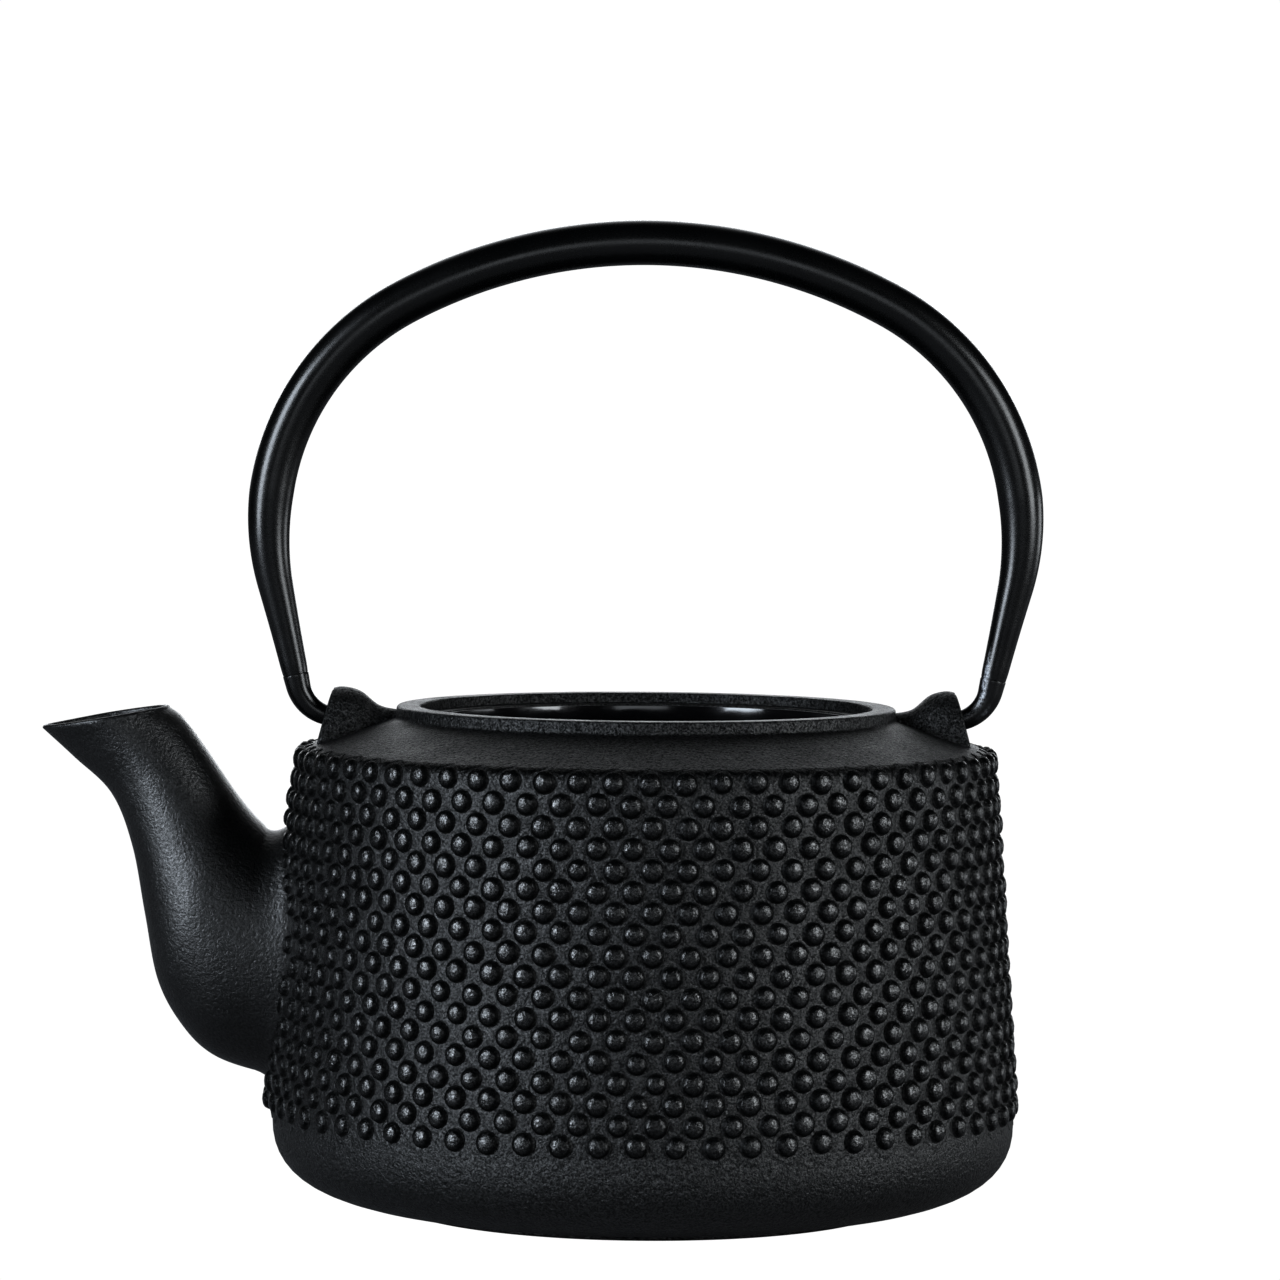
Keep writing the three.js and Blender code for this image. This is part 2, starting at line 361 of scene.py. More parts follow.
class NodeSheet:
    """The nodes of a material or of the world, with short ways to add and join them."""

    def __init__(self, owner: bpy.types.Material | bpy.types.World) -> None:
        """Turns the owner's nodes on.

        Args:
            owner: the material or the world, newly made.
        """
        owner.use_nodes = True
        self.owner = owner
        self.tree = owner.node_tree
        self.shader = self.tree.nodes.get("Principled BSDF")
        self.spot = self.add("ShaderNodeTexCoord")
        self.place = self.spot.outputs["Object"]

    def add(self, kind: str, **settings: object) -> bpy.types.Node:
        """A new node with its settings.

        Args:
            kind: the node's type.
            settings: values for the node's own properties.

        Returns:
            The node.
        """
        node = self.tree.nodes.new(kind)
        for key, value in settings.items():
            setattr(node, key, value)
        return node

    def join(self, source: bpy.types.NodeSocket, target: bpy.types.NodeSocket) -> None:
        """Links an output to an input."""
        self.tree.links.new(source, target)

    def noise(self, size: float, detail: float = 3.0, rough: float = 0.5, warp: float = 0.0,
              stretch: tuple[float, float, float] = (1, 1, 1)) -> bpy.types.NodeSocket:
        """Cloudy noise on the piece's own coordinates.

        Args:
            size: the width of its blobs in mm.
            detail: how many finer layers it has.
            rough: how strong each finer layer is.
            warp: how far it is stirred.
            stretch: the blobs' length along each axis.

        Returns:
            The socket with its value, about 0.5 on average.
        """
        mapping = self.add("ShaderNodeMapping")
        mapping.inputs["Scale"].default_value = [1 / (size * MM * s) for s in stretch]
        node = self.add("ShaderNodeTexNoise", normalize=True)
        node.inputs["Scale"].default_value = 1.0
        node.inputs["Detail"].default_value = detail
        node.inputs["Roughness"].default_value = rough
        node.inputs["Distortion"].default_value = warp
        self.join(self.place, mapping.inputs["Vector"])
        self.join(mapping.outputs[0], node.inputs["Vector"])
        return node.outputs["Fac"]

    def ramp(self, source: bpy.types.NodeSocket, low: float, high: float,
             start: float = 0.0, end: float = 1.0, smooth: bool = False) -> bpy.types.NodeSocket:
        """Carries a value from the range low..high to start..end, held at both ends.

        Args:
            source: the value.
            low, high: the range it is read over.
            start, end: what the two ends become.
            smooth: True to ease in and out, False for a straight line.

        Returns:
            The socket with the new value.
        """
        shape = "SMOOTHSTEP" if smooth else "LINEAR"
        node = self.add("ShaderNodeMapRange", clamp=True, interpolation_type=shape)
        for key, value in (("From Min", low), ("From Max", high), ("To Min", start), ("To Max", end)):
            node.inputs[key].default_value = value
        self.join(source, node.inputs["Value"])
        return node.outputs["Result"]

    def maths(self, kind: str, a: bpy.types.NodeSocket,
              b: bpy.types.NodeSocket | float) -> bpy.types.NodeSocket:
        """One sum of two values.

        Args:
            kind: the operation's name, such as ADD.
            a: the first value.
            b: the second value, a socket or a number.

        Returns:
            The socket with the answer.
        """
        node = self.add("ShaderNodeMath", operation=kind)
        self.join(a, node.inputs[0])
        if isinstance(b, (int, float)):
            node.inputs[1].default_value = b
        else:
            self.join(b, node.inputs[1])
        return node.outputs[0]

    def mix(self, amount: bpy.types.NodeSocket, a: tuple, b: tuple) -> bpy.types.NodeSocket:
        """A blend of two colours.

        Args:
            amount: 0 for the first, 1 for the second.
            a, b: the colours.

        Returns:
            The socket with the colour.
        """
        node = self.add("ShaderNodeMix", data_type="RGBA")
        self.join(amount, node.inputs[0])
        for socket, value in ((node.inputs[6], a), (node.inputs[7], b)):
            socket.default_value = (*value, 1)
        return node.outputs[2]

    def attribute(self, name: str) -> bpy.types.NodeSocket:
        """A value that the mesh carries at its points."""
        return self.add("ShaderNodeAttribute", attribute_name=name).outputs["Fac"]

    def bump(self, *layers: tuple[bpy.types.NodeSocket, float]) -> None:
        """Presses layers of height into the surface, coarse first.

        Args:
            layers: a height from 0 to 1 and its depth in mm, for each layer.
        """
        last = None
        for height, depth in layers:
            node = self.add("ShaderNodeBump")
            node.inputs["Strength"].default_value = 1.0
            node.inputs["Distance"].default_value = depth * MM
            self.join(height, node.inputs["Height"])
            if last is not None:
                self.join(last, node.inputs["Normal"])
            last = node.outputs["Normal"]
        self.join(last, self.shader.inputs["Normal"])

    def constants(self, **values: float) -> None:
        """Sets numbers straight on the shader's sockets, with _ for a space in a socket's name."""
        for key, value in values.items():
            self.shader.inputs[key.replace("_", " ")].default_value = value

    def show(self, seen: bpy.types.Node, met: bpy.types.Node, output: str) -> None:
        """Gives the camera one shader and every other ray another.

        Args:
            seen: the shader that the camera sees.
            met: the shader that light and reflections meet.
            output: the name of the output node.
        """
        ray = self.add("ShaderNodeLightPath").outputs["Is Camera Ray"]
        blend = self.add("ShaderNodeMixShader")
        for source, target in zip((ray, met.outputs[0], seen.outputs[0]), blend.inputs):
            self.join(source, target)
        self.join(blend.outputs[0], self.tree.nodes[output].inputs["Surface"])


@dataclass(frozen=True)
class CastLacquer:
    """Black lacquer over the skin of cast iron: pitted, satin, and a little smoother on raised studs, with
    painted shade that lowers the shine in its pits, on the studs' flanks and in a band under the shoulder.

    Attributes:
        dark, dusty: the lacquer's colour, and the paler colour of the dust in its grain.
        grain, grain_depth: the width and the depth of the grain in mm.
        satin, polished: the roughness of the ground and of the tops of the studs.
        dust: how much dust shows.
        speckle: the width in mm of the random pits in the skin, whose lower shine is painted shade.
        pit_shade_shine: the shine of the pits, lowered as painted shade, and of the skin between them.
        flank_shade_shine: the share of it that is left on the flanks of the studs, lowered as painted shade.
        shoulder_z: the heights in metres over which the painted crater shade on the shoulder begins.
        crater_shade_shine: the share of it that is left in a crater speck, as painted shade, 1 for none.
    """

    name: str
    dark: tuple[float, float, float] = (0.0012, 0.0014, 0.0015)
    dusty: tuple[float, float, float] = (0.010, 0.0122, 0.0125)
    grain: float = 0.5
    grain_depth: float = 0.17
    satin: float = 0.46
    polished: float = 0.26
    dust: float = 0.5
    speckle: float = 0.42
    pit_shade_shine: tuple[float, float] = (0.22, 0.74)
    flank_shade_shine: float = 0.16
    shoulder_z: tuple[float, float] = (0.0895, 0.0915)
    crater_shade_shine: float = 0.16

    def material(self) -> bpy.types.Material:
        """The material, with pits, blotches and paler dust in the grain."""
        sheet = NodeSheet(bpy.data.materials.new(self.name))
        band = sheet.attribute("relief")
        relief = sheet.ramp(band, 0.05, 0.6)
        cloud = sheet.noise(9.0, 3.0, 0.55, 0.3)
        grain = sheet.noise(self.grain, 3.0, 0.6, 0.1)
        fine = sheet.noise(self.grain * 0.33, 2.0, 0.5)
        pits = sheet.ramp(sheet.noise(self.grain * 2.1, 3.0, 0.6, 0.1), 0.30, 0.60)
        speck = sheet.ramp(grain, 0.52, 0.72)
        dusting = sheet.maths("MULTIPLY", speck, sheet.ramp(cloud, 0.3, 0.7, 0.4 * self.dust, self.dust))
        worn = sheet.maths("MULTIPLY", dusting, sheet.ramp(relief, 0.0, 1.0, 1.0, 0.35))
        sheet.join(sheet.mix(worn, self.dark, self.dusty), sheet.shader.inputs["Base Color"])
        base = sheet.ramp(cloud, 0.3, 0.7, self.satin - 0.05, self.satin + 0.05)
        smooth = sheet.maths("SUBTRACT", base, sheet.maths("MULTIPLY", relief, self.satin - self.polished))
        uneven = sheet.maths("ADD", smooth, sheet.ramp(fine, 0.3, 0.7, -0.05, 0.07))
        sheet.join(uneven, sheet.shader.inputs["Roughness"])
        calm = sheet.ramp(relief, 0.0, 1.0, 1.0, 0.45)
        layers = ((pits, 0.8), (grain, 1.0), (fine, 0.35))
        calmed = [sheet.maths("MULTIPLY", height, calm) for height, _ in layers]
        sheet.bump(*((height, self.grain_depth * share) for height, (_, share) in zip(calmed, layers)))
        # Painted shade: random pits in the skin get less shine on the specular level.
        pit_shade_specks = sheet.ramp(sheet.noise(self.speckle, 2.0, 0.6, 0.2), 0.40, 0.60, *self.pit_shade_shine)
        # Painted shade: the studs' flanks, and the band under the shoulder, keep only a little shine.
        painted_flank_shade = sheet.maths("MULTIPLY", sheet.ramp(band, 0.02, 0.22), sheet.ramp(band, 0.95, 0.70))
        high = sheet.add("ShaderNodeSeparateXYZ")
        sheet.join(sheet.place, high.inputs[0])
        above = sheet.ramp(high.outputs["Z"], *self.shoulder_z)
        # Painted shade: random crater specks on the shoulder keep only a little shine.
        crater_shade = sheet.ramp(sheet.noise(self.speckle * 1.3, 3.0, 0.7, 0.2), 0.40, 0.54, 1.0, 0.0)
        pitted = sheet.ramp(sheet.maths("MULTIPLY", above, crater_shade), 0.0, 1.0, 1.0, self.crater_shade_shine)
        shine_with_flank_shade = sheet.maths("MULTIPLY", pit_shade_specks, sheet.ramp(painted_flank_shade, 0.0, 1.0, 1.0, self.flank_shade_shine))
        sheet.join(sheet.maths("MULTIPLY", shine_with_flank_shade, pitted), sheet.shader.inputs["Specular IOR Level"])
        sheet.constants(IOR=1.5)
        return sheet.owner


@dataclass(frozen=True)
class EnamelGlaze:
    """Glossy black enamel with a faint ripple and a few specks."""

    name: str = "black_enamel_glaze"
    colour: tuple[float, float, float] = (0.003, 0.003, 0.0035)
    speckle: tuple[float, float, float] = (0.012, 0.013, 0.014)

    def material(self) -> bpy.types.Material:
        """The material, with ripples as the glaze ran and settled."""
        sheet = NodeSheet(bpy.data.materials.new(self.name))
        ripple = sheet.noise(7.0, 1.0, 0.4)
        peel = sheet.noise(1.1, 1.0, 0.4)
        specks = sheet.ramp(sheet.noise(0.6, 2.0, 0.5), 0.66, 0.74)
        sheet.join(sheet.mix(specks, self.colour, self.speckle), sheet.shader.inputs["Base Color"])
        sheet.join(sheet.ramp(ripple, 0.3, 0.7, 0.10, 0.17), sheet.shader.inputs["Roughness"])
        sheet.bump((ripple, 0.09), (peel, 0.008))
        sheet.constants(IOR=1.5)
        return sheet.owner


@dataclass(frozen=True)
class BailLacquer:
    """Smooth black lacquer on the bent tube, with a fine orange peel and a pale streak near the hooks, worn
    paint with a painted highlight.
    """

    name: str = "bail_lacquer"
    colour: tuple[float, float, float] = (0.0012, 0.0014, 0.0016)
    rubbed_highlight: tuple[float, float, float] = (0.36, 0.38, 0.41)
    satin: float = 0.25

    def material(self) -> bpy.types.Material:
        """The material, with worn paint and a painted highlight wherever the mesh carries relief."""
        sheet = NodeSheet(bpy.data.materials.new(self.name))
        cloud = sheet.noise(12.0, 3.0, 0.5)
        peel = sheet.noise(0.9, 2.0, 0.5)
        fine = sheet.noise(0.35, 2.0, 0.6)
        chips = sheet.ramp(sheet.noise(0.45, 3.0, 0.65, 0.3), 0.40, 0.58)
        # Worn paint with a painted highlight: a pale streak on the right leg, broken into chips.
        wear_and_highlight = sheet.maths("MULTIPLY", sheet.attribute("relief"), chips)
        sheet.join(sheet.mix(wear_and_highlight, self.colour, self.rubbed_highlight), sheet.shader.inputs["Base Color"])
        base = sheet.ramp(cloud, 0.3, 0.7, self.satin - 0.03, self.satin + 0.05)
        uneven = sheet.maths("ADD", base, sheet.ramp(fine, 0.3, 0.7, -0.02, 0.05))
        sheet.join(uneven, sheet.shader.inputs["Roughness"])
        sheet.bump((peel, 0.012), (fine, 0.006), (wear_and_highlight, 0.02))
        sheet.constants(IOR=1.5, Specular_IOR_Level=0.36)
        return sheet.owner


# Pieces ------------------------


@dataclass(frozen=True)
class StudPattern:
    """The hobnail studs: staggered rows of small domes, each in a shallow ring.

    Attributes:
        columns, rows: how many studs there are to a row, and how many rows.
        first_z, pitch_z: the first row's height and the height from row to row.
        lean, turn: how far the rows drift round in radians, and how far all are turned.
        ring_radii, ring_heights: the dome's rings, from the crown outwards.
        ring_relief: how raised each ring counts as in the finish, which also sets the painted shade on the
            flanks.
        crown, ground: the height of the dome's top and of the ground between studs.
        top_rise: how far the last row is set up, easing in over the last easing rows.
        stray_place, stray_width, stray_height: how uneven the studs are.
        crowding: how much smaller studs are next to the spout.
    """

    columns: int = 64
    rows: int = 18
    first_z: float = 21.3
    pitch_z: float = 3.98
    lean: float = 0.022
    turn: float = 0.012
    ring_radii: tuple[float, ...] = (1.10, 1.74, 2.10, 2.34)
    ring_heights: tuple[float, ...] = (1.30, 1.02, 0.58, 0.06)
    ring_relief: tuple[float, ...] = (1.0, 0.75, 0.2, 0.0)
    crown: float = 1.44
    ground: float = 0.17
    top_rise: float = 0.5
    easing: float = 4.0
    stray_place: float = 0.13
    stray_width: float = 0.035
    stray_height: float = 0.07
    crowding: float = 0.12
    seed: int = 7

    @property
    def pitch(self) -> float:
        """The angle between neighbours in a row."""
        return 2 * math.pi / self.columns

    @property
    def top(self) -> int:
        """The number of the last row, counted from 0."""
        return self.rows - 1

    def rise(self, row: Array) -> Array:
        """How much further along the outline a row lies than even steps would put it."""
        return self.top_rise * np.clip((row - self.top + self.easing) / self.easing, 0, 1) ** 2

    def azimuth(self, sixth: Array, row: Array) -> Array:
        """The direction of a place that is so many sixths of a pitch round, on a row."""
        return sixth * self.pitch / 6 + self.lean * (self.top - row) / self.top + self.turn


@dataclass(frozen=True)
class SpoutCasting:
    """The spout: oval sections strung between a keel and a ridge, with a thin pouring lip."""

    keel: tuple[tuple[float, float], ...] = (
        (-68.0, 24.6), (-77.1, 25.9), (-86.3, 29.1), (-92.5, 34.9), (-97.5, 44.0),
        (-100.2, 57.5), (-102.8, 71.1), (-107.0, 81.6), (-114.5, 88.8), (-120.9, 94.6),
    )
    ridge: tuple[tuple[float, float], ...] = (
        (-68.0, 75.0), (-74.6, 74.3), (-76.9, 75.8), (-79.0, 78.0), (-81.2, 80.7),
        (-83.6, 84.0), (-86.8, 88.8), (-90.2, 93.6), (-93.2, 97.3), (-95.4, 98.9),
    )
    half_widths: tuple[float, ...] = (18.4, 17.5, 17.0, 16.5, 15.6, 13.8, 12.0, 10.7, 10.2, 10.3)
    wall: float = 2.8
    lip: float = 1.15
    pinch: float = 0.35
    root_radius: float = 71.3
    port_inner: float = 58.0
    fillet: float = 1.9
    fillet_reach: float = 4.5
    columns: int = 72
    rows: int = 84

    def ring(self, t: Array, inset: Array) -> Array:
        """Oval sections at places along the spout, drawn in by a distance.

        A section is M + H cos(q) + Y sin(q): M halfway between keel and ridge, H half of the way from keel
        to ridge, Y the half width along y. Towards the tip the side below M is pinched into a V.

        Args:
            t: places from 0 at the root to 1 at the lip.
            inset: the distance drawn in at each place.

        Returns:
            A grid of points, place by direction.
        """
        low, high = catmull(np.array(self.keel), t), catmull(np.array(self.ridge), t)
        width = catmull(np.array(self.half_widths)[:, None], t)[:, 0] - inset
        q = np.linspace(0, 2 * np.pi, self.columns, endpoint=False)
        half = (high - low) / 2
        half *= (1 - inset / np.linalg.norm(half, axis=1))[:, None]
        middle = (high + low) / 2
        flat = middle[:, None] + half[:, None] * np.cos(q)[None, :, None]
        below = np.clip(-np.cos(q), 0, 1)[None] ** 1.5
        pinch = 1 - self.pinch * smoothstep(0.62, 1.0, t)[:, None] * below
        return np.stack([flat[..., 0], width[:, None] * np.sin(q)[None] * pinch, flat[..., 1]], -1)

    def seated(self, rings: Array) -> Array:
        """Moves the first ring along x onto the cylinder of the pot's inner wall.

        Args:
            rings: the sections, root first, which are changed.

        Returns:
            The same sections.
        """
        y = rings[0, :, 1]
        rings[0, :, 0] = -np.sqrt(self.root_radius**2 - y**2)
        return rings

    def build(self, outline: Path2D, finish: bpy.types.Material) -> bpy.types.Object:
        """The spout's mesh: outer skin, rounded lip and channel as one closed loop of rings.

        Args:
            outline: the pot's outline, for the small fillet where the spout leaves the wall.
            finish: the material.

        Returns:
            The object.
        """
        t = np.linspace(0, 1, self.rows) ** 0.95
        outer = self.seated(self.ring(t, np.zeros_like(t)))
        centre = outer.mean(1, keepdims=True)
        wall = np.interp(outer[..., 2], outline.points[:, 1], outline.points[:, 0])
        off = np.hypot(outer[..., 0], outer[..., 1]) - wall
        close = np.clip(1 - off / self.fillet_reach, 0, 1) ** 2
        flare = self.fillet * close * smoothstep(0.02, 0.05, t)[:, None]
        high = np.abs(unit(outer - centre)[..., 2]) ** 2
        outer = outer + unit(outer - centre) * (flare * (0.1 + 0.9 * high))[..., None]
        thick = self.wall + (self.lip - self.wall) * smoothstep(0.55, 1.0, t)
        inner = self.seated(self.ring(t, thick))
        theta = np.linspace(0, np.pi, 7)[1:-1, None, None]
        middle, reach = (outer[-1] + inner[-1]) / 2, (outer[-1] - inner[-1]) / 2
        (keel_x, keel_z), (ridge_x, ridge_z) = self.keel[-1], self.ridge[-1]
        over = unit(np.array([keel_z - ridge_z, 0, ridge_x - keel_x]))
        bead = np.linalg.norm(reach, axis=-1, keepdims=True) * np.array([over[0], 0, over[2]])
        lip = middle + reach * np.cos(theta) + bead * np.sin(theta)
        shell = Shell()
        shell.skin(shell.add(np.concatenate([outer, lip, inner[::-1]])), loop=True)
        return dressed(shell.build("spout_casting", 55), finish)

    def channel(self, extra: float) -> bpy.types.Object:
        """A closed plug of the channel near the root, run on into the pot, to cut the port with.

        Args:
            extra: how much wider than the channel it is.

        Returns:
            The cutter, which is a shape to cut with and never shown.
        """
        t = np.array([0.0, 0.11, 0.16])
        rings = self.ring(t, np.full(3, self.wall - extra))
        rings[0, :, 0] = -self.port_inner
        shell = Shell()
        grid = shell.add(rings)
        shell.skin(grid)
        shell.cap(grid[0], rings[0].mean(0))
        shell.cap(grid[-1], rings[-1].mean(0), flip=True)
        return shell.build("port_cutter")


@dataclass(frozen=True)
class PotCasting:
    """The studded drum with its shoulder, mouth ring, lid seat, base band and foot."""

    foot_radius: float = 50.6
    foot_height: float = 1.2
    wall_foot: tuple[float, float] = (74.3, 17.0)
    shoulder: tuple[float, float] = (69.03, 91.4)
    rim_foot: tuple[float, float] = (50.1, 97.4)
    rim_radius: float = 49.9
    rim_top: float = 99.9
    mouth_radius: float = 45.3
    seat_radius: float = 42.4
    seat_top: float = 97.8
    seat_under: float = 95.2
    root_y: float = 17.4
    root_z: float = 49.8
    root_rise: float = 25.2
    collar: float = 1.1
    collar_size: float = 1.55
    collar_z: tuple[float, float] = (16.5, 20.0)
    band_shade: float = 0.4
    studs: StudPattern = StudPattern()

    def outside(self) -> list[tuple]:
        """The outer outline from the middle of the foot up to the lid seat's lower edge."""
        foot = (self.foot_radius, self.foot_height)
        return [
            (0, 0, 0), (self.foot_radius, 0, 0.5), (*foot, 0.25),
            *bezier(foot, (64.5, 1.8), (74.5, 6.0), self.wall_foot, 14),
            (*self.wall_foot, 0), (*self.shoulder, 2.2), (*self.rim_foot, 0.8),
            (self.rim_radius, self.rim_top, 0.55), (self.mouth_radius, self.rim_top, 0.4),
            (self.mouth_radius, self.seat_top, 0.35), (self.seat_radius, self.seat_top, 0.35),
            (self.seat_radius, self.seat_under, 0),
        ]

    def hollow(self, inset: float) -> list[tuple]:
        """The hollow's outline from under the seat down to the middle of the floor.

        Args:
            inset: how far the outline is drawn in.

        Returns:
            Rows of (radius, height, fillet radius).
        """
        low, high = 71.2 - inset, 66.0 - inset
        return [
            (43, self.seat_under - inset, 0), (high - 3, 88.2 - inset, 0), (high, 85.5 - inset, 2.0),
            (low, 19, 0), *bezier((low, 19), (low + 0.4, 9 + inset), (64, 5 + inset), (54, 4 + inset), 8),
            (54, 4 + inset, 0), (0, 4 + inset, 0),
        ]

    def outline(self) -> Path2D:
        """The outer outline, fine enough for the studs to follow the round shoulder."""
        return Path2D(filleted(self.outside(), 7))

    def root_oval(self, y: Array, z: Array) -> Array:
        """The size of the oval round the spout's root that a point lies on, 1 at the root itself."""
        return np.hypot(y / self.root_y, (z - self.root_z) / self.root_rise)

    def surface(self, path: Path2D, azimuth: Array, along: Array, height: Array) -> Array:
        """Points at azimuths and distances along the outline, raised along its normal.

        Round the spout's root the wall swells into a low collar, full at the root's oval and gone at
        collar_size times it.

        Args:
            path: the pot's outline.
            azimuth: the directions in radians.
            along: the distances along the outline.
            height: how far each point stands off the outline.

        Returns:
            The points, x, y, z on the last axis.
        """
        spot, normal = path.at(along)
        y, z = -spot[..., 0] * np.cos(azimuth), spot[..., 1]
        swell = 1 - smoothstep(1.0, self.collar_size, self.root_oval(y, z))
        near = np.where(np.sin(azimuth) < 0, swell, 0) * smoothstep(*self.collar_z, z)
        raised = spot + normal * (height + self.collar * near)[..., None]
        r, z = raised[..., 0], raised[..., 1]
        return np.stack([r * np.sin(azimuth), -r * np.cos(azimuth), z], -1)

    def stud_field(self, shell: Shell, path: Path2D) -> tuple[list[tuple[Indices, Array]], float, float]:
        """The studs, one diamond cell for each, all joined at their borders.

        A cell is a centre point, rings of 12 points round it, and a border of 12 points on a diamond half a
        pitch wide and a row high. The border points have whole-number places on a lattice of 6 steps for
        each column and 3 for each row, so neighbours share them.

        Args:
            shell: the mesh that the cells go into.
            path: the pot's outline.

        Returns:
            The indices and the rows along the bottom edge and along the top edge, the distance of the first
            row along the outline, and the distance from row to row.
        """
        p = self.studs
        start = path.where_height(p.first_z, 53.0)
        step = path.where_height(p.first_z + p.pitch_z, 53.0) - start
        row, column = (g.ravel() for g in np.meshgrid(np.arange(p.rows), np.arange(p.columns), indexing="ij"))
        a, b = 6 * column + 3 * ((p.top - row) % 2), 3 * row
        rng = np.random.default_rng(p.seed)
        stray = np.clip(rng.normal(0, 1, (4, len(row))), -2, 2)

        def lattice(la: Array, lb: Array) -> tuple[Array, Array]:
            """The azimuth and the distance along the outline at a place on the lattice."""
            return p.azimuth(la, lb / 3), start + lb / 3 * step + p.rise(lb / 3)

        u, s = lattice(a, b)
        spot, _ = path.at(s)
        radius = spot[:, 0]
        y, z, x = -radius * np.cos(u), spot[:, 1], radius * np.sin(u)
        oval = self.root_oval(y, z)
        shown = np.where(x < 0, smoothstep(0.94, 1.03, oval), 1.0)
        crowd = np.where(x < 0, 1 - smoothstep(1.0, 1.3, oval), 0)
        scale = 1 + p.stray_width * stray[2] - p.crowding * crowd
        tall = shown * (1 + p.stray_height * stray[3])
        edge_a = np.array([3, 2, 1, 0, -1, -2, -3, -2, -1, 0, 1, 2])
        edge_b = np.roll(edge_a, 3)
        spokes = len(edge_a)
        q = np.linspace(0, 2 * np.pi, spokes, endpoint=False)
        reach = np.array(p.ring_radii)[:, None] * np.ones(spokes)
        off_u, off_s = p.stray_place * stray[:2]
        du = (reach * np.cos(q))[None] * scale[:, None, None] + off_u[:, None, None]
        ds = (reach * np.sin(q))[None] * scale[:, None, None] + off_s[:, None, None]
        lift = np.array(p.ring_heights)[None, :, None] * tall[:, None, None] * np.ones(spokes)
        ring_u = u[:, None, None] + du / radius[:, None, None]
        relief_and_flank_shade = np.array(p.ring_relief)[None, :, None] * shown[:, None, None] * np.ones(spokes)
        rings = shell.add(self.surface(path, ring_u, s[:, None, None] + ds, lift), relief_and_flank_shade)
        hubs = shell.add(self.surface(path, u + off_u / radius, s + off_s, p.crown * tall), shown)
        around = 6 * p.columns
        ka, kb = (a[:, None] + edge_a) % around, b[:, None] + edge_b
        keys, first, inverse = np.unique(kb * around + ka, return_index=True, return_inverse=True)
        la, lb = (a[:, None] + edge_a).ravel()[first], kb.ravel()[first]
        edge_u, edge_s = lattice(la, lb)
        edges = shell.add(self.surface(path, edge_u, edge_s, np.full(len(keys), p.ground)))
        border = edges[inverse.reshape(len(row), spokes)]
        loops = np.concatenate([rings, border[:, None]], axis=1)
        after = np.roll(loops, -1, axis=2)
        quads = np.stack([loops[:, :-1], after[:, :-1], after[:, 1:], loops[:, 1:]], -1)
        shell.faces.append(quads.reshape(-1, 4)[:, ::-1])
        tips = np.broadcast_to(hubs[:, None], (len(row), spokes))
        shell.faces.append(np.stack([tips, loops[:, 0], after[:, 0]], -1).reshape(-1, 3))
        span = np.arange(around)
        under = np.abs((span + 3 - 3 * (p.top % 2)) % 6 - 3) - 3
        over = np.abs(span % 6 - 3) + 3 * p.top
        rims = [(edges[np.searchsorted(keys, b * around + span)], b / 3) for b in (under, over)]
        return rims, start, step

    def build(self, spout: SpoutCasting, finish: bpy.types.Material) -> bpy.types.Object:
        """The pot's mesh: foot and band, studs, shoulder and mouth, then the plainer hollow.

        Args:
            spout: the spout, whose channel is cut through the wall.
            finish: the material.

        Returns:
            The object.
        """
        path = self.outline()
        p = self.studs
        shell = Shell()
        rims, start, step = self.stud_field(shell, path)
        span = np.arange(6 * p.columns)
        last = start + p.top * step + p.top_rise
        ends = []
        for (ring, row), straight, spread in zip(rims, (start - 1.12 * step, last + 1.15 * step), (3, 7)):
            here = start + row * step + p.rise(row)
            f = (np.arange(1, spread + 1) / spread)[:, None]
            along = here * (1 - f) + straight * f
            azimuth = p.azimuth(span, (along - start) / step)
            beyond = along - last
            # Painted shade: a band just under the shoulder's edge is given relief, which the finish turns
            # dark.
            shade = self.band_shade * smoothstep(1.7, 2.3, beyond) * (1 - smoothstep(3.1, 3.8, beyond))
            grid = shell.add(self.surface(path, azimuth, along, np.zeros_like(along)), shade)
            ends.append((np.vstack([ring, grid]), straight, azimuth[-1]))
        (below, low_s, low_u), (above, high_s, high_u) = ends
        down = path.points[(path.along < low_s - 0.2) & (path.along > 0)][::-1]
        up = path.points[path.along > high_s + 0.2]
        foot = shell.add(lathe(down, low_u))
        crown = shell.add(lathe(up, high_u))
        shell.skin(np.vstack([below, foot])[::-1])
        shell.skin(np.vstack([above, crown]))
        shell.cap(foot[-1], (0, 0, 0))
        hollow = filleted(self.hollow(0.0), 4)
        inside = shell.add(lathe(hollow[:-1], high_u[::4]))
        shell.skin(inside)
        shell.cap(inside[-1], (0, 0, hollow[-1][1]), flip=True)
        fine, coarse = crown[-1].reshape(-1, 4), inside[0]
        after = np.roll(fine[:, 0], -1)
        hoop = [fine[:, 0], fine[:, 1], fine[:, 2], fine[:, 3], after, np.roll(coarse, -1), coarse]
        shell.faces.append(np.stack(hoop, -1))
        piece = shell.build("pot_casting")
        cut(piece, spout.channel(1.4))
        return dressed(piece, finish)


